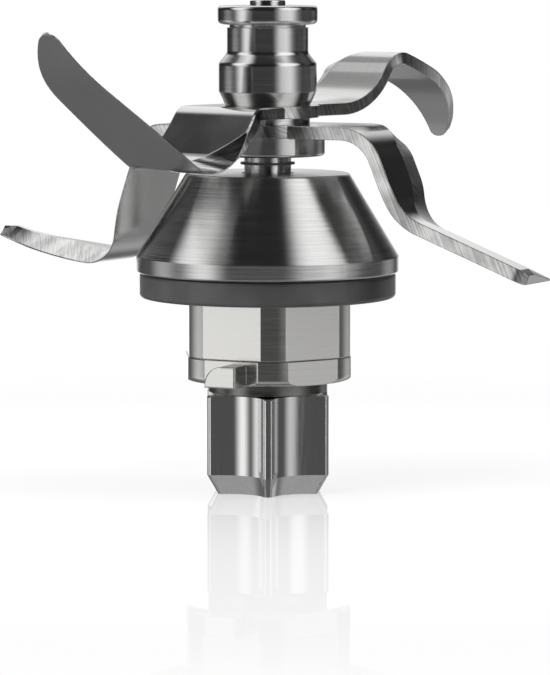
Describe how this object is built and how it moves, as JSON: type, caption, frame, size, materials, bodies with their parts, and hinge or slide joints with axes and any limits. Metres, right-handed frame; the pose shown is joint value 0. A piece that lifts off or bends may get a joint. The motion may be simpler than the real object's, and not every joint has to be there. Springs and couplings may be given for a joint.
{
  "type": "blender blade assembly",
  "caption": "Blade unit for a mixing bowl: bent, ground blades on a hub, turning in a cone-shaped housing with a rubber seal, a six-sided bearing housing and a star drive coupling.",
  "frame": {"origin": "on the turning axis, at the end face of the star coupling on which the unit stands", "axes": "+Z along the axis from the coupling to the blades; -Y is the front, the side that the picture shows; +X is its right"},
  "size_m": [0.1174, 0.1074, 0.1042],
  "materials": {
    "drive_shaft": "polished",
    "drive_coupling": "polished, with turned nose",
    "coupling_screw": "plain",
    "lock_washer": "plain",
    "lower_inner_race": "ground",
    "lower_outer_race": "ground",
    "lower_ball_cage": "plain",
    "lower_balls": "polished",
    "upper_inner_race": "ground",
    "upper_outer_race": "ground",
    "upper_ball_cage": "plain",
    "upper_balls": "polished",
    "bearing_spacer": "turned",
    "bearing_housing": "brushed across the flats",
    "bayonet_ring": "brushed across the flats, polished lugs",
    "bearing_cover": "turned",
    "housing_o_ring": "matte",
    "preload_washer": "spring steel",
    "sealing_ring": "matte, smooth moulded",
    "cone_housing": "fine turned lines",
    "shaft_seal": "matte",
    "seal_case": "pressed sheet",
    "garter_spring": "spring steel",
    "slinger_washer": "matte",
    "spacer_collar": "turned and polished",
    "lower_blade": "satin sheet with ground cutting edges",
    "blade_washer": "turned",
    "upper_blade": "satin sheet with ground cutting edges",
    "blade_hub": "turned and polished"
  },
  "bodies": {
    "housing": {"bearing_housing": "bearing_housing", "bayonet_ring": "bayonet_ring", "bearing_cover": "bearing_cover", "lower_outer_race": "lower_outer_race", "upper_outer_race": "upper_outer_race", "preload_washer": "preload_washer", "housing_o_ring": "housing_o_ring", "sealing_ring": "sealing_ring", "cone_housing": "cone_housing", "shaft_seal": "shaft_seal", "seal_case": "seal_case", "garter_spring": "garter_spring"},
    "rotor": {"drive_shaft": "drive_shaft", "drive_coupling": "drive_coupling", "coupling_screw": "coupling_screw", "lock_washer": "lock_washer", "lower_inner_race": "lower_inner_race", "upper_inner_race": "upper_inner_race", "bearing_spacer": "bearing_spacer", "slinger_washer": "slinger_washer", "spacer_collar": "spacer_collar", "lower_blade": "lower_blade", "blade_washer": "blade_washer", "upper_blade": "upper_blade", "blade_hub": "blade_hub"},
    "lower_ball_set": {"lower_ball_cage": "lower_ball_cage", "lower_balls": "lower_balls"},
    "upper_ball_set": {"upper_ball_cage": "upper_ball_cage", "upper_balls": "upper_balls"}
  },
  "joints": [
    {"name": "shaft_spin", "type": "hinge", "parent": "housing", "child": "rotor", "pos_m": [0, 0, 0.0382], "axis": [0, 0, 1], "continuous": true},
    {"name": "lower_cage_spin", "type": "hinge", "parent": "housing", "child": "lower_ball_set", "pos_m": [0, 0, 0.0285], "axis": [0, 0, 1], "continuous": true},
    {"name": "upper_cage_spin", "type": "hinge", "parent": "housing", "child": "upper_ball_set", "pos_m": [0, 0, 0.048], "axis": [0, 0, 1], "continuous": true}
  ],
  "couplings": [
    {"joint": "lower_cage_spin", "follows": "shaft_spin", "ratio": 0.368},
    {"joint": "upper_cage_spin", "follows": "shaft_spin", "ratio": 0.368}
  ]
}
